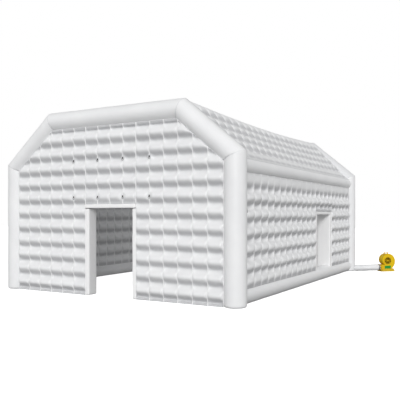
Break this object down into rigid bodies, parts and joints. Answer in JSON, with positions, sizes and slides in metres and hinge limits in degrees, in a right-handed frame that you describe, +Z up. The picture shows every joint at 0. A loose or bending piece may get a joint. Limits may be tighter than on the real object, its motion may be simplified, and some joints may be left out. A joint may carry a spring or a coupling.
{
  "type": "inflatable tent",
  "caption": "White inflatable event tent on round air tubes, with quilted air walls and roof, two doorways, a sleeve and a yellow blower.",
  "frame": {"origin": "on the ground, under the middle of the box around the tent and its blower", "axes": "+Z up, +Y from the front doorway to the rear wall, +X towards the side doorway and the blower"},
  "size_m": [7.054, 8.688, 3.927],
  "materials": {
    "tube_fabric": "smooth white coated fabric, stretched tight by air",
    "quilt_fabric": "white coated fabric, quilted by sewn seams and swollen by air",
    "lining_fabric": "bright white coated fabric, tight",
    "sleeve_fabric": "thin white coated fabric, slightly creased",
    "tab_webbing": "woven black strap, matte",
    "strap_webbing": "woven black strap, matte",
    "zip_tape": "white woven tape with a coil",
    "ring_steel": "black coated steel wire",
    "zip_metal": "grey zinc, satin",
    "housing_plastic": "yellow moulded plastic, slightly glossy",
    "foot_plastic": "yellow moulded plastic, slightly glossy",
    "guard_plastic": "yellow moulded plastic grille",
    "impeller_plastic": "dark moulded plastic",
    "motor_plastic": "black ribbed casting, satin",
    "rocker_plastic": "red glossy plastic",
    "plate_vinyl": "plain green plate"
  },
  "bodies": {
    "tent": {"front_left_post": "tube_fabric", "front_left_shoulder": "tube_fabric", "front_top_beam": "tube_fabric", "front_right_shoulder": "tube_fabric", "front_right_post": "tube_fabric", "rear_left_post": "tube_fabric", "rear_left_shoulder": "tube_fabric", "rear_top_beam": "tube_fabric", "rear_right_shoulder": "tube_fabric", "rear_right_post": "tube_fabric", "left_eave_beam": "tube_fabric", "left_base_beam": "tube_fabric", "right_eave_beam": "tube_fabric", "right_base_beam": "tube_fabric", "front_wall_left": "quilt_fabric", "front_wall_right": "quilt_fabric", "front_wall_header": "quilt_fabric", "rear_wall": "quilt_fabric", "left_wall": "quilt_fabric", "right_wall_front": "quilt_fabric", "right_wall_rear": "quilt_fabric", "right_wall_header": "quilt_fabric", "roof_left_slope": "quilt_fabric", "roof_right_slope": "quilt_fabric", "roof_top": "quilt_fabric", "front_door_left_jamb": "lining_fabric", "front_door_right_jamb": "lining_fabric", "front_door_lintel": "lining_fabric", "side_door_frame": "lining_fabric", "upper_banner_1_tab": "tab_webbing", "upper_banner_2_tab": "tab_webbing", "upper_banner_3_tab": "tab_webbing", "upper_banner_4_tab": "tab_webbing", "lower_banner_1_tab": "tab_webbing", "lower_banner_2_tab": "tab_webbing", "lower_banner_3_tab": "tab_webbing", "lower_banner_4_tab": "tab_webbing", "left_guy_tab": "tab_webbing", "right_guy_tab": "tab_webbing", "deflation_zip": "zip_tape", "inflation_sleeve": "sleeve_fabric", "sleeve_strap": "strap_webbing", "blower_housing": "housing_plastic", "blower_foot": "foot_plastic", "intake_guard": "guard_plastic", "blower_motor": "motor_plastic", "face_plate": "plate_vinyl"},
    "upper_banner_1_loop": {"upper_banner_1_ring": "ring_steel"},
    "upper_banner_2_loop": {"upper_banner_2_ring": "ring_steel"},
    "upper_banner_3_loop": {"upper_banner_3_ring": "ring_steel"},
    "upper_banner_4_loop": {"upper_banner_4_ring": "ring_steel"},
    "lower_banner_1_loop": {"lower_banner_1_ring": "ring_steel"},
    "lower_banner_2_loop": {"lower_banner_2_ring": "ring_steel"},
    "lower_banner_3_loop": {"lower_banner_3_ring": "ring_steel"},
    "lower_banner_4_loop": {"lower_banner_4_ring": "ring_steel"},
    "left_guy_loop": {"left_guy_ring": "ring_steel"},
    "right_guy_loop": {"right_guy_ring": "ring_steel"},
    "impeller_wheel": {"impeller": "impeller_plastic"},
    "rocker": {"switch_rocker": "rocker_plastic"},
    "zip_pull": {"zip_slider": "zip_metal"}
  },
  "joints": [
    {"name": "upper_banner_1_swing", "type": "hinge", "parent": "tent", "child": "upper_banner_1_loop", "pos_m": [-1.50155, -4.30378, 2.82], "axis": [-1, 0, 0], "range_deg": [0, 150]},
    {"name": "upper_banner_2_swing", "type": "hinge", "parent": "tent", "child": "upper_banner_2_loop", "pos_m": [-0.85155, -4.30378, 2.82], "axis": [-1, 0, 0], "range_deg": [0, 150]},
    {"name": "upper_banner_3_swing", "type": "hinge", "parent": "tent", "child": "upper_banner_3_loop", "pos_m": [-0.20155, -4.30378, 2.82], "axis": [-1, 0, 0], "range_deg": [0, 150]},
    {"name": "upper_banner_4_swing", "type": "hinge", "parent": "tent", "child": "upper_banner_4_loop", "pos_m": [0.44845, -4.30378, 2.82], "axis": [-1, 0, 0], "range_deg": [0, 150]},
    {"name": "lower_banner_1_swing", "type": "hinge", "parent": "tent", "child": "lower_banner_1_loop", "pos_m": [-1.50155, -4.30378, 2.045], "axis": [-1, 0, 0], "range_deg": [0, 150]},
    {"name": "lower_banner_2_swing", "type": "hinge", "parent": "tent", "child": "lower_banner_2_loop", "pos_m": [-0.85155, -4.30378, 2.045], "axis": [-1, 0, 0], "range_deg": [0, 150]},
    {"name": "lower_banner_3_swing", "type": "hinge", "parent": "tent", "child": "lower_banner_3_loop", "pos_m": [-0.20155, -4.30378, 2.045], "axis": [-1, 0, 0], "range_deg": [0, 150]},
    {"name": "lower_banner_4_swing", "type": "hinge", "parent": "tent", "child": "lower_banner_4_loop", "pos_m": [0.44845, -4.30378, 2.045], "axis": [-1, 0, 0], "range_deg": [0, 150]},
    {"name": "left_guy_swing", "type": "hinge", "parent": "tent", "child": "left_guy_loop", "pos_m": [-3.51477, -4.08357, 1.76], "axis": [0.3827, 0.9239, 0], "range_deg": [0, 150]},
    {"name": "right_guy_swing", "type": "hinge", "parent": "tent", "child": "right_guy_loop", "pos_m": [2.46166, -4.08357, 1.76], "axis": [0.3827, -0.9239, 0], "range_deg": [0, 150]},
    {"name": "impeller_spin", "type": "hinge", "parent": "tent", "child": "impeller_wheel", "pos_m": [3.27345, 4.05726, 0.32], "axis": [-0.6756, 0.7373, 0], "continuous": true},
    {"name": "rocker_tip", "type": "hinge", "parent": "tent", "child": "rocker", "pos_m": [3.16388, 4.17682, 0.426], "axis": [0.7373, 0.6756, 0], "range_deg": [-8, 8]},
    {"name": "zip_run", "type": "slide", "parent": "tent", "child": "zip_pull", "axis": [0, 0, 1], "range_m": [0, 0.5]}
  ]
}
